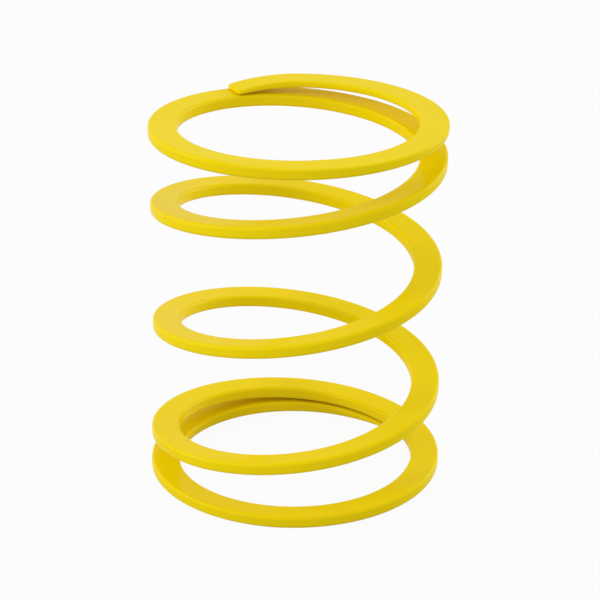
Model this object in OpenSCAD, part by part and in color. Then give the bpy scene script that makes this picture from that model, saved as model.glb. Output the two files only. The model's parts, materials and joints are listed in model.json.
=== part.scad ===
// Helper spring of flat wire, with closed and ground ends.
// One length of rounded flat wire is wound right-handed about +Z.
// It stands on its lower ground face at z = 0.

/* [Wire] */
// Radial width of the flat wire
wire_w = 7.8; // [5:0.1:10]
// Thickness of the flat wire along the spring's axis
wire_t = 3.4; // [2.4:0.1:4]
// Radius of the rolled edges of the wire
edge_r = 0.9; // [0.4:0.05:1.1]
// Tilt of the flat faces that the winding leaves, outer edge up, in degrees
wire_tilt = 2.9; // [0:0.1:5]

/* [Coil] */
// Inside diameter of the end turns, which the pilots of the seats go into
inner_d = 65; // [50:0.5:90]
// Free length between the two ground faces
free_length = 102; // [80:0.5:140]
// Turns of wire from tip to tip
turns = 5.235; // [4.6:0.005:7]
// Angle of the lower tip about the axis, from +X
tip_angle = 36; // [0:1:359]
// How much tighter the middle of the coil is wound, in radius
waist = 0.75; // [0:0.05:1]

/* [Ends] */
// Arc over which each end is ground, in degrees from the tip
ground_arc = 270; // [240:5:300]
// Turns at the lower end before the pitch starts to open
closed_turns_lower = 0.5; // [0.3:0.01:0.55]
// Turns over which the pitch opens from the lower end
lead_turns_lower = 1.46; // [1.4:0.01:1.9]
// How far the lower nose is set up towards the next turn, at its tip
drop_lower = 0.35; // [0.15:0.05:1.2]
// Turns at the upper end before the pitch starts to open
closed_turns_upper = 0.35; // [0.25:0.01:0.5]
// Turns over which the pitch opens from the upper end
lead_turns_upper = 1.67; // [1.4:0.01:1.9]
// How far the upper nose is set down towards the next turn, at its tip
drop_upper = 0.9; // [0.15:0.05:1.2]
// Arc of the nose at each tip
nose_arc = 32; // [16:1:60]
// Thickness left on the wire at its tip
tip_t = 1.1; // [0.6:0.05:1.4]
// Rounding of the tip's corners, seen from above
tip_round = 1.6; // [0.8:0.1:2.2]
// Gap between a tip and the turn that it lies on
tip_gap = 0.12; // [0.08:0.01:0.4]
// Break on the edges that grinding leaves sharp
edge_break = 0.2; // [0.15:0.05:0.35]

/* [Seats] */
// Arc behind each nose whose inner wall is sized to the inside diameter, in degrees
seat_arc = 288; // [276:1:300]
// Stock on the inner wall of that arc before it is sized
seat_stock = 0.06; // [0.05:0.01:0.15]
// Clearance of the next turns outside the inside diameter, before the waist
open_relief = 0.15; // [0.12:0.01:0.3]

/* [Hidden] */
coat_yellow = [0.89, 0.77, 0.06];
steps_per_turn = 60;
edge_steps = 3;
tip_steps = 4;
edge_limit = 0.45;
cut_past = 1;
plug_past = 0.55;

bore_r = inner_d / 2;
ground_turns = ground_arc / 360;
nose_turns = nose_arc / 360;
seat_end = nose_turns + seat_arc / 360;
tip_turns = tip_round / (PI * (inner_d + wire_w));

// The two ends, by number, and what differs between them
LOWER = 0;
UPPER = 1;
ENDS = [LOWER, UPPER];
closed = [closed_turns_lower, closed_turns_upper];
lead = [lead_turns_lower, lead_turns_upper];
drop = [drop_lower, drop_upper];

// A smooth step that climbs from 0 to 1 over x = 0..1, and the area under it
function smooth_step(x) = x <= 0 ? 0 : x >= 1 ? 1 : x * x * (3 - 2 * x);
function step_area(x) = x <= 0 ? 0 : x >= 1 ? x - 0.5 : x ^ 3 - x ^ 4 / 2;

// Turns of full pitch that lie within v turns of an end
function opened(v, end) = lead[end] * step_area((v - closed[end]) / lead[end]);

// Each end's first turn climbs by the wire, the tip's gap and the drop of the nose,
// and the pitch between the ends takes up what is left of the free length
first_rise = [for (end = ENDS) wire_t + tip_gap + drop[end]];
first_open = [for (end = ENDS) opened(1, end)];
shut_turns = [for (end = ENDS) closed[end] + lead[end] / 2];
shut_share = [for (end = ENDS) (shut_turns[end] - ground_turns) / (1 - first_open[end])];
pitch = (free_length - wire_t - first_rise * shut_share)
    / (turns - shut_turns[LOWER] - shut_turns[UPPER] - first_open * shut_share);
end_pitch = [for (end = ENDS) (first_rise[end] - pitch * first_open[end]) / (1 - first_open[end])];
ground_t = [for (end = ENDS) wire_t - end_pitch[end] * ground_turns];

// Height of the wire's middle, u turns from the lower tip
function middle_z(u) = ground_t[LOWER] - wire_t / 2 + end_pitch[LOWER] * u
    + (pitch - end_pitch[LOWER]) * opened(u, LOWER)
    - (pitch - end_pitch[UPPER]) * (u - opened(turns, UPPER) + opened(turns - u, UPPER));

// How far into the nose a point v turns from a tip lies: 1 at the tip, 0 behind the nose
function nose(v) = v >= nose_turns ? 0 : (1 - v / nose_turns) ^ 2;

// Turns from u to the nearer tip, and how much tighter than the end turns the wire is wound there
function from_tip(u) = min(u, turns - u);
function waist_at(u) = waist * smooth_step((from_tip(u) - seat_end) / (turns / 2 - seat_end));

// Outer wall of the wire, and its inner wall: stock to be sized on the seats, and clear of them elsewhere;
// at a tip both draw in to round its corners
function is_seat(u) = from_tip(u) > nose_turns && from_tip(u) < seat_end;
function tip_inset(u) = tip_round * (1 - sqrt(1 - max(0, 1 - from_tip(u) / tip_turns) ^ 2));
function middle_r(u) = bore_r + wire_w / 2 - waist_at(u);
function outer_r(u) = middle_r(u) + wire_w / 2 - tip_inset(u);
function inner_r(u) = middle_r(u) - wire_w / 2 + tip_inset(u) + (is_seat(u) ? -seat_stock : open_relief);

// Faces of the wire at u turns and radius r, each cut back to its ground plane and bevelled at the nose
function ground_cut(v, end) = (ground_t[end] + drop[end] - tip_t) * nose(v);
function wire_z(u, r) = middle_z(u) + (r - middle_r(u)) * tan(wire_tilt)
    + drop[LOWER] * nose(u) - drop[UPPER] * nose(turns - u);
function top_z(u, r) = min(wire_z(u, r) + wire_t / 2, free_length - ground_cut(turns - u, UPPER));
function bottom_z(u, r) = max(wire_z(u, r) - wire_t / 2, ground_cut(u, LOWER));

// A rolled edge that is ground to the depth d: what is left of it across the wire and along the axis
function edge_across(d) = d >= edge_r ? edge_break : max(edge_break, edge_r - sqrt(d * (2 * edge_r - d)));
function edge_along(d) = max(edge_break, edge_r - d);

// One rounded section of the wire, anticlockwise seen along the winding
function section(u) =
    let (a = tip_angle + 360 * u)
    [for (corner = [0 : 3], k = [0 : edge_steps])
        let (
            b = 90 * (corner + k / edge_steps),
            outer = corner == 0 || corner == 3,
            upper = corner < 2,
            edge = outer ? outer_r(u) : inner_r(u),
            ground_z = upper ? top_z(u, edge) : bottom_z(u, edge),
            d = wire_t / 2 + (upper ? 1 : -1) * (wire_z(u, edge) - ground_z),
            e = min(edge_along(d), edge_limit * (top_z(u, edge) - bottom_z(u, edge))),
            r = edge + edge_across(d) * (cos(b) + (outer ? -1 : 1)),
            z = upper ? top_z(u, r) - e * (1 - sin(b)) : bottom_z(u, r) + e * (1 + sin(b))
        )
        [r * cos(a), r * sin(a), z]];

// Places of the sections: close together on the rounding of each tip, evenly spread between
tip_places = [for (i = [0 : tip_steps]) tip_turns * (1 - cos(90 * i / tip_steps))];
even_count = ceil((turns - 2 * tip_turns) * steps_per_turn);
places = concat(tip_places,
    [for (i = [1 : even_count - 1]) tip_turns + (turns - 2 * tip_turns) * i / even_count],
    [for (i = [tip_steps : -1 : 0]) turns - tip_places[i]]);

// The wire as wound and ground, swept from tip to tip
module wound_wire() {
    per = 4 * (edge_steps + 1);
    last = len(places) - 1;
    rings = [for (u = places) section(u)];
    sides = [for (i = [0 : last - 1], k = [0 : per - 1])
        let (a = i * per + k, b = i * per + (k + 1) % per, c = b + per, d = a + per)
        each [[a, b, c], [a, c, d]]];
    ends = [[for (k = [per - 1 : -1 : 0]) k], [for (k = [0 : per - 1]) last * per + k]];
    polyhedron(points = [for (ring = rings) each ring], faces = concat(sides, ends), convexity = 16);
}

// The round plug that sizes the inner wall of an end, from past its face to just beyond the seat
module seat_plug(end) {
    low = end == LOWER ? -cut_past : middle_z(turns - seat_end) - plug_past * wire_t;
    high = end == LOWER ? middle_z(seat_end) + plug_past * wire_t : free_length + cut_past;
    translate([0, 0, low])
        cylinder(r = bore_r, h = high - low, $fn = 240);
}

module helper_spring() {
    color(coat_yellow)
    difference() {
        wound_wire();
        for (end = ENDS)
            seat_plug(end);
    }
}

helper_spring();
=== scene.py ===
"""Helper spring of powder-coated flat wire, dressed and lit for its studio picture.

Lengths of the coil are in millimetres, as in its construction, and become metres where a mesh is
made. Places along the wire are in turns: u counts from the lower tip, and v from the tip of the
end that is meant.
"""

import json
import logging
import math
from collections.abc import Iterator
from dataclasses import dataclass
from enum import Enum

import bpy
from mathutils import Matrix, Vector


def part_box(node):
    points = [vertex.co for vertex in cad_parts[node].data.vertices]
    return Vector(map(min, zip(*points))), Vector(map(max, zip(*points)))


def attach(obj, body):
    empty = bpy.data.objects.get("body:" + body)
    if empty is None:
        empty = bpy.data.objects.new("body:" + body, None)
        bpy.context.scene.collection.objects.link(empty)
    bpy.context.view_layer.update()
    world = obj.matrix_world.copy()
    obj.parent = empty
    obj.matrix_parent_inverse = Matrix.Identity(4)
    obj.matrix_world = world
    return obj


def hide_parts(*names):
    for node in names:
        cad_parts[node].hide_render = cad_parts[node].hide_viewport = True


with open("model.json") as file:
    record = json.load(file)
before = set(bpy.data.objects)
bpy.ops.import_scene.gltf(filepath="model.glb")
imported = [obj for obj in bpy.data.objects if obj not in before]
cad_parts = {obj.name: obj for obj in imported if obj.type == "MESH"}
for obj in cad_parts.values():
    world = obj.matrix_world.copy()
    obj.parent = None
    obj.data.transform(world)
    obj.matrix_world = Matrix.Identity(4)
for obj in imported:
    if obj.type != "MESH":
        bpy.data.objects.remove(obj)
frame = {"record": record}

LOG = logging.getLogger("helper_spring")
MM = 0.001
NODE = "helper_spring"
BODY = "root"
MAP_LAYER = "OFBake"
SIDE_CORNERS = 4
ROUNDING = 1e-9

Colour = tuple[float, float, float, float]
WHITE: Colour = (1.0, 1.0, 1.0, 1.0)


class End(Enum):
    """The two ends of the coil."""

    LOWER = "lower"
    UPPER = "upper"


class Corner(Enum):
    """The four rolled edges of the wire, in order round its section, as (out, up, quarter)."""

    OUTER_TOP = (1, 1, 0)
    INNER_TOP = (-1, 1, 1)
    INNER_BOTTOM = (-1, -1, 2)
    OUTER_BOTTOM = (1, -1, 3)

    @property
    def out(self) -> int:
        """1 on the side away from the coil's axis, -1 on the side towards it."""
        return self.value[0]

    @property
    def up(self) -> int:
        """1 on the wire's top, -1 on its underside."""
        return self.value[1]

    @property
    def quarter(self) -> int:
        """Quarter turns round the section at which the rolled edge starts."""
        return self.value[2]

    @property
    def before_flat(self) -> bool:
        """True where a flat of the wire follows the edge, and not a wall."""
        return self in (Corner.OUTER_TOP, Corner.INNER_BOTTOM)


class Rays(Enum):
    """Rays that see the plain background in place of the light, as Light Path names them."""

    CAMERA = "Is Camera Ray"
    GLOSSY = "Is Glossy Ray"
    TRANSMISSION = "Is Transmission Ray"


def smooth_step(x: float) -> float:
    """A smooth climb from 0 to 1.

    Args:
        x: Place along the climb, from 0 to 1.

    Returns:
        The height there, held at 0 before the climb and at 1 after it.
    """
    held = min(max(x, 0.0), 1.0)
    return held * held * (3 - 2 * held)


def step_area(x: float) -> float:
    """Area under the smooth climb.

    Args:
        x: Place along the climb, from 0 to 1.

    Returns:
        The area from 0 up to that place.
    """
    if x >= 1:
        return x - 0.5
    held = max(x, 0.0)
    return held**3 - held**4 / 2


def heading(azimuth: float, elevation: float = 0.0) -> Vector:
    """A direction in the frame.

    Args:
        azimuth: Angle from +X towards +Y, in radians.
        elevation: Angle up from the floor, in radians.

    Returns:
        The direction, of length 1.
    """
    level = math.cos(elevation)
    return Vector((level * math.cos(azimuth), level * math.sin(azimuth), math.sin(elevation)))


class NodeTree:
    """A short way to write down a tree of shader nodes."""

    def __init__(self, tree: bpy.types.NodeTree) -> None:
        """Empties the tree of a material or a world, ready for new nodes."""
        self.tree = tree
        tree.nodes.clear()

    def add(self, kind: str, settings: dict | None = None, **inputs: object) -> bpy.types.Node:
        """Adds one node.

        Args:
            kind: Blender's name for the type of node.
            settings: Values for the node's own properties.
            **inputs: Values or outputs for its inputs, named with underscores for spaces.

        Returns:
            The new node.
        """
        node = self.tree.nodes.new(kind)
        for name, value in (settings or {}).items():
            setattr(node, name, value)
        for name, value in inputs.items():
            self.feed(node.inputs[name.replace("_", " ")], value)
        return node

    def feed(self, socket: bpy.types.NodeSocket, value: object) -> None:
        """Links an output to a socket, or sets its value.

        Args:
            socket: The input to feed.
            value: An output socket, or a plain value.
        """
        if isinstance(value, bpy.types.NodeSocket):
            self.tree.links.new(value, socket)
        else:
            socket.default_value = value

    def joined(self, node: bpy.types.Node, *values: object) -> bpy.types.NodeSocket:
        """Feeds a node's inputs in their order.

        Args:
            node: The node.
            *values: Values or outputs for its first inputs.

        Returns:
            The node's first output.
        """
        for socket, value in zip(node.inputs, values):
            self.feed(socket, value)
        return node.outputs[0]

    def math(self, operation: str, first: object, second: object) -> bpy.types.NodeSocket:
        """The result of a math operation, by Blender's name for it, on two values or outputs."""
        node = self.add("ShaderNodeMath", {"operation": operation})
        return self.joined(node, first, second)

    def mix(
        self, share: bpy.types.NodeSocket, first: bpy.types.Node, second: bpy.types.Node
    ) -> bpy.types.NodeSocket:
        """A mix of two nodes' shaders, with the second one's share from 0 to 1."""
        node = self.add("ShaderNodeMixShader")
        return self.joined(node, share, first.outputs[0], second.outputs[0])

    def background_seen(self) -> bpy.types.NodeSocket:
        """A value of 1 for the rays that see the plain background, and 0 for all others.

        Returns:
            The output that holds the value.
        """
        path = self.add("ShaderNodeLightPath")
        seen = path.outputs[Rays.CAMERA.value]
        for ray in (Rays.GLOSSY, Rays.TRANSMISSION):
            seen = self.math("MAXIMUM", seen, path.outputs[ray.value])
        return seen


@dataclass(frozen=True)
class Ripple:
    """Soft noise of one size over a surface.

    Attributes:
        size_mm: Width of one patch of the noise.
        detail: Number of finer layers in it.
        height_mm: Height of its bump, where it has one.
    """

    size_mm: float
    detail: float
    height_mm: float = 0.0

    def noise(self, nodes: NodeTree, place: bpy.types.NodeSocket) -> bpy.types.NodeSocket:
        """The noise itself.

        Args:
            nodes: The material's nodes.
            place: Output that gives the place on the piece, in metres.

        Returns:
            Its value, from 0 to 1.
        """
        scale = 1 / (self.size_mm * MM)
        made = nodes.add("ShaderNodeTexNoise", Vector=place, Scale=scale, Detail=self.detail)
        return made.outputs["Fac"]

    def bump(
        self,
        nodes: NodeTree,
        noise: bpy.types.NodeSocket,
        below: bpy.types.NodeSocket | None = None,
    ) -> bpy.types.NodeSocket:
        """A bump of the noise's real height.

        Args:
            nodes: The material's nodes.
            noise: The noise's value.
            below: Normal of the coarser bump that this one lies on, if any.

        Returns:
            The bumped normal.
        """
        made = nodes.add("ShaderNodeBump", Height=noise, Distance=self.height_mm * MM, Strength=1.0)
        if below is not None:
            nodes.feed(made.inputs["Normal"], below)
        return made.outputs["Normal"]


@dataclass(frozen=True)
class PowderCoat:
    """Satin powder coat: an even yellow with a thin skin, and a faint orange peel where it flowed.

    Attributes:
        name: The material's name.
        yellow: Colour of the coat.
        deep_yellow: Colour in its deeper patches.
        reflection_tint: Colour of the reflection from the coat's body.
        specular_level: Strength of that reflection.
        smoothest: Roughness of the body where the peel is low.
        roughest: Roughness of the body where the peel is high.
        skin_weight: Strength of the skin's reflection.
        skin_roughness: Roughness of the skin.
        patches: Patches of deeper colour.
        peel: The orange peel.
        grain: Fine grain of the powder.
    """

    name: str = "yellow_powder_coat"
    yellow: Colour = (0.880, 0.676, 0.0016, 1.0)
    deep_yellow: Colour = (0.855, 0.649, 0.0011, 1.0)
    reflection_tint: Colour = (1.0, 0.86, 0.15, 1.0)
    specular_level: float = 0.004
    smoothest: float = 0.18
    roughest: float = 0.26
    skin_weight: float = 0.12
    skin_roughness: float = 0.12
    patches: Ripple = Ripple(size_mm=9.0, detail=3.0)
    peel: Ripple = Ripple(size_mm=1.6, detail=1.0, height_mm=0.020)
    grain: Ripple = Ripple(size_mm=0.35, detail=2.0, height_mm=0.004)

    def material(self) -> bpy.types.Material:
        """Makes the finish.

        Returns:
            The material.
        """
        made = bpy.data.materials.new(self.name)
        made.use_nodes = True
        nodes = NodeTree(made.node_tree)
        place = nodes.add("ShaderNodeTexCoord").outputs["Object"]
        patches = self.patches.noise(nodes, place)
        peel = self.peel.noise(nodes, place)
        grain = self.grain.noise(nodes, place)

        colour = nodes.add(
            "ShaderNodeMix",
            {"data_type": "RGBA"},
            Factor=patches,
            A=self.deep_yellow,
            B=self.yellow,
        )
        gloss = nodes.add(
            "ShaderNodeMapRange", Value=peel, To_Min=self.smoothest, To_Max=self.roughest
        )
        peeled = self.peel.bump(nodes, peel)
        grained = self.grain.bump(nodes, grain, below=peeled)
        shader = nodes.add(
            "ShaderNodeBsdfPrincipled",
            Base_Color=colour.outputs["Result"],
            Roughness=gloss.outputs["Result"],
            Normal=grained,
            Specular_IOR_Level=self.specular_level,
            Specular_Tint=self.reflection_tint,
            Coat_Weight=self.skin_weight,
            Coat_Roughness=self.skin_roughness,
            Coat_Normal=peeled,
        )
        nodes.add("ShaderNodeOutputMaterial", Surface=shader.outputs["BSDF"])
        return made


@dataclass(frozen=True)
class PalePaper:
    """The floor's finish: pale paper that the camera sees as white, with a faint shadow on it.

    Attributes:
        name: The material's name.
        colour: Colour of the paper.
        whiteness: Share of plain white in what the camera sees; the rest shows the shadow.
    """

    name: str = "pale_paper"
    colour: Colour = (0.60, 0.60, 0.60, 1.0)
    whiteness: float = 0.94

    def material(self) -> bpy.types.Material:
        """Makes the finish.

        Returns:
            The material.
        """
        made = bpy.data.materials.new(self.name)
        made.use_nodes = True
        nodes = NodeTree(made.node_tree)
        paper = nodes.add("ShaderNodeBsdfDiffuse", Color=self.colour)
        white = nodes.add("ShaderNodeEmission", Color=WHITE, Strength=1.0)
        share = nodes.math("MULTIPLY", nodes.background_seen(), self.whiteness)
        nodes.add("ShaderNodeOutputMaterial", Surface=nodes.mix(share, paper, white))
        return made


@dataclass(frozen=True)
class EndForm:
    """How the pitch closes at one end of the coil, and how the wire lies to the next turn there.

    Attributes:
        closed_turns: Turns behind the tip before the pitch starts to open.
        lead_turns: Turns over which it opens to the full pitch.
        nose_drop: How far the nose is set down on the next turn.
        slit_rise: Most that the wire's face in the slit lies above its plain place.
        slit_in_turns: Turns behind the tip over which that rise comes in.
        slit_hold_turns: Turns from the tip up to which it then holds.
        slit_out_turns: Turns over which it fades out after that.
    """

    closed_turns: float
    lead_turns: float
    nose_drop: float
    slit_rise: float
    slit_in_turns: float
    slit_hold_turns: float
    slit_out_turns: float

    @property
    def shut_turns(self) -> float:
        """Turns by which the end falls short of full pitch throughout."""
        return self.closed_turns + self.lead_turns / 2

    def opened(self, v: float) -> float:
        """How many of the v turns from the end's tip count as full pitch."""
        return self.lead_turns * step_area((v - self.closed_turns) / self.lead_turns)

    def slit_lift(self, v: float) -> float:
        """How far the wire's face in the slit lies above its plain place.

        Args:
            v: Turns from the end's tip.

        Returns:
            The lift, which comes in behind the tip and fades out along the end turn.
        """
        comes_in = smooth_step(v / self.slit_in_turns)
        fades_out = smooth_step((v - self.slit_hold_turns) / self.slit_out_turns)
        return self.slit_rise * comes_in * (1 - fades_out)


@dataclass
class FlatWireCoil:
    """The coil of flat wire: rolled edges, a pitch that closes at the ends, ground faces and noses.

    Attributes:
        free_length: Height from one ground face to the other.
        bore_r: Radius of the inner wall where it carries a seat.
        lower: Form of the lower end.
        upper: Form of the upper end.
        wire_w: Width of the wire.
        wire_t: Thickness of the wire.
        wire_tilt_deg: Tilt of its flats, with the outer edge up.
        edge_r: Radius of its rolled edges.
        edge_break: Least round on an edge that grinding has cut back.
        edge_limit: Most of the wire's thickness that one rolled edge takes.
        turns: Turns from tip to tip.
        tip_angle_deg: Angle of the lower tip, from +X towards +Y.
        waist: How much tighter the middle of the coil is wound, in radius.
        ground_turns: Turns that each ground face covers.
        nose_turns: Turns that each thin nose covers.
        seat_turns: Turns behind each nose where the inner wall carries a seat.
        open_relief: How far the inner wall is clear of the bore elsewhere.
        tip_t: Thickness of a tip.
        tip_gap: Gap between a tip and the next turn.
        tip_round: Radius of a tip's corners.
        tip_soft: Length over which the coat softens a tip's end.
        tip_left: Share of the thickness that is left at the very end.
        steps_per_turn: Sections to a turn.
        edge_steps: Steps round each rolled edge.
        tip_steps: Sections round a tip's corners.
        flat_places: Where the section has points across a flat, as shares of it.
        wall_places: Where the section has points up a wall, as shares of it.
        map_rows: Rows in which the wire's skin lies on its map.
        map_margin: Margin of a row, as a share of it.
        map_cap: Half the width of a tip's cap in that margin, as a share of it.
    """

    free_length: float
    bore_r: float
    lower: EndForm = EndForm(
        closed_turns=0.50,
        lead_turns=1.46,
        nose_drop=0.35,
        slit_rise=1.25,
        slit_in_turns=0.16,
        slit_hold_turns=0.19,
        slit_out_turns=0.26,
    )
    upper: EndForm = EndForm(
        closed_turns=0.35,
        lead_turns=1.67,
        nose_drop=0.90,
        slit_rise=0.36,
        slit_in_turns=0.14,
        slit_hold_turns=0.18,
        slit_out_turns=0.26,
    )
    wire_w: float = 7.8
    wire_t: float = 3.4
    wire_tilt_deg: float = 2.9
    edge_r: float = 0.9
    edge_break: float = 0.6
    edge_limit: float = 0.45
    turns: float = 5.235
    tip_angle_deg: float = 36.0
    waist: float = 0.75
    ground_turns: float = 270 / 360
    nose_turns: float = 32 / 360
    seat_turns: float = 288 / 360
    open_relief: float = 0.15
    tip_t: float = 1.1
    tip_gap: float = 0.12
    tip_round: float = 1.6
    tip_soft: float = 0.5
    tip_left: float = 0.3
    steps_per_turn: int = 240
    edge_steps: int = 8
    tip_steps: int = 12
    flat_places: tuple[float, ...] = (0.05, 0.25, 0.5, 0.75, 0.95)
    wall_places: tuple[float, ...] = (0.12, 0.5, 0.88)
    map_rows: int = 7
    map_margin: float = 0.06
    map_cap: float = 0.4

    def __post_init__(self) -> None:
        """Works out the pitches: each nose meets the next turn, and both ends are ground alike."""
        self.forms = {End.LOWER: self.lower, End.UPPER: self.upper}
        self.seat_end = self.nose_turns + self.seat_turns
        self.turn_mm = 2 * math.pi * (self.bore_r + self.wire_w / 2)

        # Height and turns that are left to the full pitch once both ends have taken theirs.
        height, turns = self.free_length - self.wire_t, self.turns
        for form in self.forms.values():
            share = (form.shut_turns - self.ground_turns) / (1 - form.opened(1.0))
            height -= self.first_rise(form) * share
            turns -= form.shut_turns + form.opened(1.0) * share
        self.pitch = height / turns

        self.end_pitch, self.ground_t = {}, {}
        for end, form in self.forms.items():
            at_full = form.opened(1.0)
            closed_rise = self.first_rise(form) - self.pitch * at_full
            self.end_pitch[end] = closed_rise / (1 - at_full)
            self.ground_t[end] = self.wire_t - self.end_pitch[end] * self.ground_turns

    def first_rise(self, form: EndForm) -> float:
        """Height that the wire gains over the first turn of an end, to lie on its nose."""
        return self.wire_t + self.tip_gap + form.nose_drop

    def from_tip(self, u: float) -> float:
        """Turns from u to the nearer tip."""
        return min(u, self.turns - u)

    def tip_share(self, u: float, length: float) -> float:
        """Height of a tip's quarter circle of one length at u turns, from 0 at the end to 1."""
        short = max(1 - self.from_tip(u) * self.turn_mm / length, 0.0)
        return math.sqrt(1 - short * short)

    def tip_inset(self, u: float) -> float:
        """How far each wall draws in at u turns, for the round corners of a tip."""
        return self.tip_round * (1 - self.tip_share(u, self.tip_round))

    def tip_fullness(self, u: float) -> float:
        """Share of the wire's thickness at u turns, for the soft end of a tip."""
        return self.tip_left + (1 - self.tip_left) * self.tip_share(u, self.tip_soft)

    def waist_at(self, u: float) -> float:
        """How much tighter than the end turns the wire is wound at u turns, in radius."""
        tightening = self.turns / 2 - self.seat_end
        return self.waist * smooth_step((self.from_tip(u) - self.seat_end) / tightening)

    def middle_r(self, u: float) -> float:
        """Radius of the wire's middle at u turns."""
        return self.bore_r + self.wire_w / 2 - self.waist_at(u)

    def outer_r(self, u: float) -> float:
        """Radius of the outer wall at u turns."""
        return self.middle_r(u) + self.wire_w / 2 - self.tip_inset(u)

    def inner_r(self, u: float) -> float:
        """Radius of the inner wall, which fits the bore on the seats and is clear of it elsewhere.

        Args:
            u: Turns from the lower tip.

        Returns:
            The radius.
        """
        v = self.from_tip(u)
        blend = self.nose_turns / 2
        after_nose = smooth_step((v - self.nose_turns) / blend)
        before_end = smooth_step((self.seat_end - v) / blend)
        relief = self.open_relief * (1 - after_nose * before_end)
        return self.middle_r(u) - self.wire_w / 2 + relief + self.tip_inset(u)

    def nose(self, v: float) -> float:
        """How far into the nose a place lies, from 0 behind it to 1 at the tip."""
        return max(1 - v / self.nose_turns, 0.0) ** 2

    def middle_z(self, u: float) -> float:
        """Height of the wire's middle.

        Args:
            u: Turns from the lower tip.

        Returns:
            The height above the lower ground face.
        """
        lower_pitch, upper_pitch = self.end_pitch[End.LOWER], self.end_pitch[End.UPPER]
        upper_shut = u - self.upper.opened(self.turns) + self.upper.opened(self.turns - u)
        return (
            self.ground_t[End.LOWER]
            - self.wire_t / 2
            + lower_pitch * u
            + (self.pitch - lower_pitch) * self.lower.opened(u)
            - (self.pitch - upper_pitch) * upper_shut
        )

    def wire_z(self, u: float, r: float) -> float:
        """Height of the middle of the tilted wire at one radius.

        Args:
            u: Turns from the lower tip.
            r: Radius.

        Returns:
            The height, with each nose set down on the next turn.
        """
        tilted = (r - self.middle_r(u)) * math.tan(math.radians(self.wire_tilt_deg))
        lower_set = self.lower.nose_drop * self.nose(u)
        upper_set = self.upper.nose_drop * self.nose(self.turns - u)
        return self.middle_z(u) + tilted + lower_set - upper_set

    def face_z(self, u: float, r: float, up: int) -> float:
        """Height of the wire's top (up = 1) or underside (up = -1) before its end is ground."""
        lift = self.lower.slit_lift(u) if up > 0 else self.upper.slit_lift(self.turns - u)
        return self.wire_z(u, r) + up * self.wire_t / 2 + lift

    def ground_cut(self, end: End, v: float) -> float:
        """How far the nose's bevel goes past the ground plane, v turns from that end's tip."""
        full = self.ground_t[end] + self.forms[end].nose_drop
        return (full - self.tip_t) * self.nose(v)

    def ground_z(self, u: float, r: float, up: int) -> float:
        """Height of a flat of the wire as it is ground.

        Args:
            u: Turns from the lower tip.
            r: Radius.
            up: 1 for the top, -1 for the underside.

        Returns:
            The height, cut back to the ground plane and the bevel of the nose.
        """
        face = self.face_z(u, r, up)
        if up > 0:
            return min(face, self.free_length - self.ground_cut(End.UPPER, self.turns - u))
        return max(face, self.ground_cut(End.LOWER, u))

    def rolled_edge(self, u: float, corner: Corner) -> list[tuple[float, float]]:
        """One rolled edge of the wire's section, cut back where its flat is ground.

        Args:
            u: Turns from the lower tip.
            corner: Which edge.

        Returns:
            Points as (radius, height), in order round the section.
        """
        wall = self.outer_r(u) if corner.out > 0 else self.inner_r(u)
        thickness = self.ground_z(u, wall, 1) - self.ground_z(u, wall, -1)
        depth = corner.up * (self.face_z(u, wall, corner.up) - self.ground_z(u, wall, corner.up))
        kept = min(depth, self.edge_r)
        round_left = self.edge_r - math.sqrt(max(kept * (2 * self.edge_r - kept), 0.0))
        across = max(self.edge_break, round_left)
        along = min(max(self.edge_break, self.edge_r - depth), self.edge_limit * thickness)
        points = []
        for k in range(self.edge_steps + 1):
            b = math.pi / 2 * (corner.quarter + k / self.edge_steps)
            r = wall + across * (math.cos(b) - corner.out)
            z = self.ground_z(u, r, corner.up) + along * (math.sin(b) - corner.up)
            points.append((r, z))
        return points

    def section(self, u: float) -> list[Vector]:
        """The wire's whole section.

        Args:
            u: Turns from the lower tip.

        Returns:
            Points in metres, in order round the section.
        """
        edges = [self.rolled_edge(u, corner) for corner in Corner]
        outline: list[tuple[float, float]] = []
        for corner, edge, following in zip(Corner, edges, edges[1:] + edges[:1]):
            outline += edge
            (r0, z0), (r1, z1) = edge[-1], following[0]
            for share in self.flat_places if corner.before_flat else self.wall_places:
                r = r0 + (r1 - r0) * share
                on_wall = z0 + (z1 - z0) * share
                z = self.ground_z(u, r, corner.up) if corner.before_flat else on_wall
                outline.append((r, z))
        heights = [z for _, z in outline]
        middle = (max(heights) + min(heights)) / 2
        full = self.tip_fullness(u)
        ray = heading(math.radians(self.tip_angle_deg) + 2 * math.pi * u)
        return [(ray * r + Vector((0, 0, middle + (z - middle) * full))) * MM for r, z in outline]

    def stations(self) -> list[float]:
        """Places along the wire at which it has a section, close together at the tips.

        Returns:
            Turns from the lower tip, in order.
        """
        count = math.ceil(self.turns * self.steps_per_turn)
        even = [self.turns * i / count for i in range(count + 1)]
        rounded = self.tip_round / self.turn_mm
        close = [
            rounded * (1 - math.cos(math.pi / 2 * i / self.tip_steps))
            for i in range(self.tip_steps + 1)
        ]
        half_step = 0.5 / self.steps_per_turn
        middle = [u for u in even if self.from_tip(u) > rounded + half_step]
        return close + middle + [self.turns - u for u in reversed(close)]

    def faces(self, rings: int, per: int) -> Iterator[tuple[int, ...]]:
        """Faces of the swept wire, with a cap on each tip.

        Args:
            rings: Number of sections.
            per: Points in each section.

        Yields:
            The corners of each face, anticlockwise seen from outside.
        """
        for i in range(rings - 1):
            for k in range(per):
                a, b = i * per + k, i * per + (k + 1) % per
                yield (a, a + per, b + per, b)
        yield tuple(range(per))
        yield tuple(reversed(range((rings - 1) * per, rings * per)))

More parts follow.
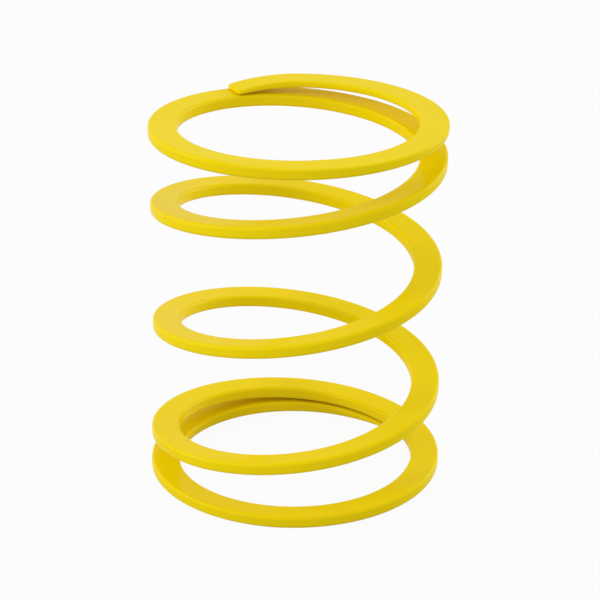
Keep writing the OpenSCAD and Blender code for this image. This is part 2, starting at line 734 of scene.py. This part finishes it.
    def map_place(self, row: int, along: float, round_wire: float) -> tuple[float, float]:
        """One place on the map of the wire's skin.

        Args:
            row: The row of the map.
            along: Share of the row's length.
            round_wire: Share of the way round the wire, or past 1 in the row's margin.

        Returns:
            The place on the map.
        """
        used = 1 - 2 * self.map_margin
        across = (row + self.map_margin + used * round_wire) / self.map_rows
        return (self.map_margin / 2 + (1 - self.map_margin) * along, across)

    def cap_place(self, row: int, round_wire: float) -> tuple[float, float]:
        """The place on the map of a point on a tip's cap, a small oval in the margin of its row.

        Args:
            row: The row of the map.
            round_wire: Share of the way round the wire.

        Returns:
            The place on the map.
        """
        turned = 2 * math.pi * round_wire
        along = 0.5 + self.map_margin / 2 * math.cos(turned)
        past = self.map_margin * (0.5 + self.map_cap * math.sin(turned))
        return self.map_place(row, along, 1 + past)

    def lay_map(self, mesh: bpy.types.Mesh, places: list[float], per: int) -> None:
        """Lays the wire's skin out flat in rows, as a map for baked finishes.

        Args:
            mesh: The coil's mesh.
            places: The sections' places along the wire.
            per: Points in each section.
        """
        layer = mesh.uv_layers.new(name=MAP_LAYER)
        row_turns = self.turns / self.map_rows
        for face in mesh.polygons:
            corners = [divmod(mesh.loops[k].vertex_index, per) for k in face.loop_indices]
            first_ring = min(ring for ring, _ in corners)
            row = min(int(places[first_ring] / row_turns + ROUNDING), self.map_rows - 1)
            closes_round = {0, per - 1} <= {point for _, point in corners}
            for k, (ring, point) in zip(face.loop_indices, corners):
                if face.loop_total > SIDE_CORNERS:
                    layer.data[k].uv = self.cap_place(row, point / per)
                else:
                    round_wire = (per if closes_round and point == 0 else point) / per
                    along = places[ring] / row_turns - row
                    layer.data[k].uv = self.map_place(row, along, round_wire)

    def build(self) -> bpy.types.Object:
        """Makes the coil's mesh.

        Returns:
            The coil, in the frame's own place.
        """
        places = self.stations()
        rings = [self.section(u) for u in places]
        per = len(rings[0])
        points = [point for ring in rings for point in ring]
        mesh = bpy.data.meshes.new("wound_wire")
        mesh.from_pydata(points, [], list(self.faces(len(rings), per)))
        mesh.polygons.foreach_set("use_smooth", [True] * len(mesh.polygons))
        self.lay_map(mesh, places, per)
        mesh.validate()
        mesh.update()
        coil = bpy.data.objects.new("wound_wire", mesh)
        bpy.context.scene.collection.objects.link(coil)
        return coil

    def dress(self, coil: bpy.types.Object, coat: PowderCoat) -> None:
        """Puts the coat on the coil, and the coil in the place of its solid.

        Args:
            coil: The coil.
            coat: Its finish.
        """
        coil.data.materials.append(coat.material())
        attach(coil, BODY)
        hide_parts(NODE)


@dataclass(frozen=True)
class Softbox:
    """A soft lamp on a stand, turned to the middle of the object.

    Attributes:
        name: The lamp's name.
        azimuth_deg: Where it stands, from +X towards +Y.
        elevation_deg: How high it hangs, seen from the object.
        width_m: Width of its cloth.
        height_m: Height of its cloth.
        power_w: Its power.
        distance_m: How far from the object it is.
    """

    name: str
    azimuth_deg: float
    elevation_deg: float
    width_m: float
    height_m: float
    power_w: float
    distance_m: float = 1.2

    def build(self, target: Vector) -> bpy.types.Object:
        """Hangs the lamp.

        Args:
            target: The point it is turned to.

        Returns:
            The lamp.
        """
        lamp = bpy.data.lights.new(self.name, "AREA")
        lamp.shape = "RECTANGLE"
        lamp.size = self.width_m
        lamp.size_y = self.height_m
        lamp.energy = self.power_w
        made = bpy.data.objects.new(self.name, lamp)
        away = heading(math.radians(self.azimuth_deg), math.radians(self.elevation_deg))
        made.location = target + away * self.distance_m
        made.rotation_euler = (-away).to_track_quat("-Z", "Y").to_euler()
        bpy.context.scene.collection.objects.link(made)
        return made


@dataclass
class Studio:
    """The plain pale floor, the soft light round it and the camera at the photo's viewing angle.

    Attributes:
        floor_r: Radius of the floor, in metres.
        floor_sides: Sides of its rim.
        ambient: Strength of the even light from all round.
        target_mm: The point that the camera and the lamps are turned to.
        elevation_deg: How high the camera stands, seen from that point.
        roll_deg: How far the camera is turned about its line of sight.
        distance_m: How far from that point it is.
        focal_px: Its focal length, in pixels of the picture.
        image_px: Width of the picture.
        sensor_mm: Width of its sensor.
        clip_m: The nearest and the farthest that it sees.
        lamps: The soft lamps.
    """

    floor_r: float = 6.0
    floor_sides: int = 96
    ambient: float = 0.80
    target_mm: tuple[float, float, float] = (0.917, 0.0, 49.531)
    elevation_deg: float = 22.887
    roll_deg: float = 0.689
    distance_m: float = 0.66920
    focal_px: float = 2433.9
    image_px: float = 600.0
    sensor_mm: float = 36.0
    clip_m: tuple[float, float] = (0.01, 50.0)
    lamps: tuple[Softbox, ...] = (
        Softbox(
            "left_softbox",
            azimuth_deg=180.0,
            elevation_deg=20.0,
            width_m=0.6,
            height_m=0.6,
            power_w=3.1,
        ),
        Softbox(
            "right_softbox",
            azimuth_deg=32.0,
            elevation_deg=12.0,
            width_m=0.7,
            height_m=0.35,
            power_w=5.1,
        ),
        Softbox(
            "front_softbox",
            azimuth_deg=221.0,
            elevation_deg=36.0,
            width_m=0.36,
            height_m=0.12,
            power_w=1.9,
        ),
    )

    @property
    def target(self) -> Vector:
        """The point that the camera and the lamps are turned to, in metres."""
        return Vector(self.target_mm) * MM

    def build_floor(self, paper: PalePaper) -> bpy.types.Object:
        """Lays the floor.

        Args:
            paper: The floor's finish.

        Returns:
            The floor.
        """
        sides = range(self.floor_sides)
        rim = [heading(2 * math.pi * k / self.floor_sides) * self.floor_r for k in sides]
        mesh = bpy.data.meshes.new("studio_floor")
        mesh.from_pydata(rim, [], [tuple(sides)])
        floor = bpy.data.objects.new("studio_floor", mesh)
        floor.data.materials.append(paper.material())
        bpy.context.scene.collection.objects.link(floor)
        return floor

    def build_world(self) -> None:
        """Fills the room with even light, and gives the camera a white background."""
        world = bpy.data.worlds.new("studio_room")
        world.use_nodes = True
        nodes = NodeTree(world.node_tree)
        light = nodes.add("ShaderNodeBackground", Color=WHITE, Strength=self.ambient)
        white = nodes.add("ShaderNodeBackground", Color=WHITE, Strength=1.0)
        mixed = nodes.mix(nodes.background_seen(), light, white)
        nodes.add("ShaderNodeOutputWorld", Surface=mixed)
        bpy.context.scene.world = world

    def build_camera(self) -> bpy.types.Object:
        """Sets up the camera.

        Returns:
            The camera.
        """
        data = bpy.data.cameras.new("camera")
        data.sensor_width = self.sensor_mm
        data.lens = self.focal_px / self.image_px * self.sensor_mm
        data.clip_start, data.clip_end = self.clip_m
        camera = bpy.data.objects.new("camera", data)
        elevation, roll = math.radians(self.elevation_deg), math.radians(self.roll_deg)
        back = Vector((0.0, -math.cos(elevation), math.sin(elevation)))
        up = Vector((0.0, math.sin(elevation), math.cos(elevation)))
        right = Vector((1.0, 0.0, 0.0))
        rolled_right = right * math.cos(roll) + up * math.sin(roll)
        rolled_up = up * math.cos(roll) - right * math.sin(roll)
        turned = Matrix((rolled_right, rolled_up, back)).transposed().to_4x4()
        camera.matrix_world = Matrix.Translation(self.target + back * self.distance_m) @ turned
        bpy.context.scene.collection.objects.link(camera)
        bpy.context.scene.camera = camera
        return camera

    def build(self, paper: PalePaper) -> list[bpy.types.Object]:
        """Sets up the whole studio.

        Args:
            paper: The floor's finish.

        Returns:
            The camera, the floor and the lamps.
        """
        self.build_world()
        bpy.context.scene.view_settings.view_transform = "Standard"
        lamps = [lamp.build(self.target) for lamp in self.lamps]
        return [self.build_camera(), self.build_floor(paper), *lamps]


def seat_radius_mm() -> float:
    """Radius of the seats' bores, as the frame's record states it."""
    return next(m["dims"]["r_mm"] for m in frame["record"]["mounts"] if m["kind"] == "bore")


def main() -> None:
    """Builds the coil to the height of the construction's box, and the studio, and logs what it
    made.
    """
    logging.basicConfig(level=logging.INFO, format="%(name)s: %(message)s")
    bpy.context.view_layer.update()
    low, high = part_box(NODE)

    shape = FlatWireCoil(free_length=(high.z - low.z) / MM, bore_r=seat_radius_mm())
    coil = shape.build()
    shape.dress(coil, PowderCoat())
    LOG.info("%s: %d faces, full pitch %.2f mm", coil.name, len(coil.data.polygons), shape.pitch)

    for stand in Studio().build(PalePaper()):
        LOG.info("%s: %s of the studio", stand.name, stand.type.lower())


if __name__ == "__main__":
    main()
